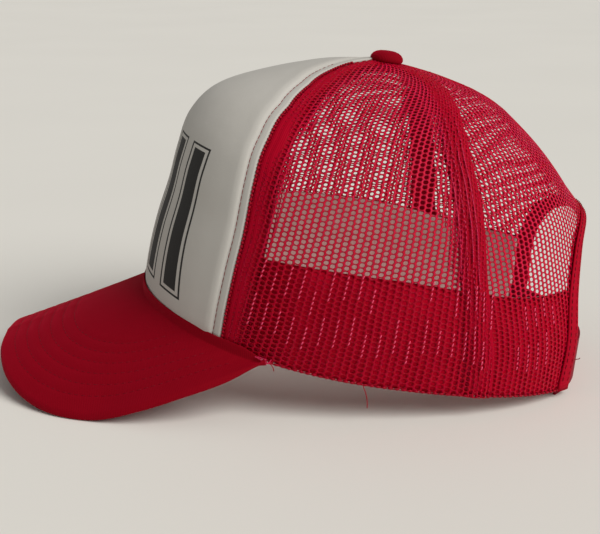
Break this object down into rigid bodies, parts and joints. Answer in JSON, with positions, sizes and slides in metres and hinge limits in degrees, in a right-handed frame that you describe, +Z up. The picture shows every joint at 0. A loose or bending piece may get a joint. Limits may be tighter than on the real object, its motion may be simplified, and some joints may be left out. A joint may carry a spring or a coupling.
{
  "type": "five-panel foam-front mesh trucker hat",
  "caption": "Trucker hat with a padded white front, knitted red mesh sides and back, a curved stitched red peak, a covered button and a half-moon back opening with a snap strap.",
  "frame": {"origin": "The middle of the hat's footprint on the surface it stands on.", "axes": "+Z is up. The peak points to -Y and the back opening to +Y. +X is the wearer's left."},
  "size_m": [0.1632, 0.261, 0.1415],
  "materials": {
    "foam_cloth": "smooth polyester over foam, white",
    "mesh": "red knitted polyester mesh with a slight sheen",
    "peak_cloth": "deep red woven cloth, matte",
    "band_cloth": "dark red sweatband cloth, matte",
    "tape": "red woven tape, matte",
    "strap_plastic": "red moulded plastic, satin"
  },
  "bodies": {
    "root": {"foam_front": "foam_cloth", "mesh_side_left": "mesh", "mesh_side_right": "mesh", "mesh_back_left": "mesh", "mesh_back_right": "mesh", "peak": "peak_cloth", "sweatband": "band_cloth", "seam_tape_front_left": "tape", "seam_tape_front_right": "tape", "seam_tape_side_left": "tape", "seam_tape_side_right": "tape", "seam_tape_back": "tape", "opening_binding": "tape", "strap_outer": "strap_plastic", "strap_inner": "strap_plastic", "button": "peak_cloth"}
  },
  "joints": []
}
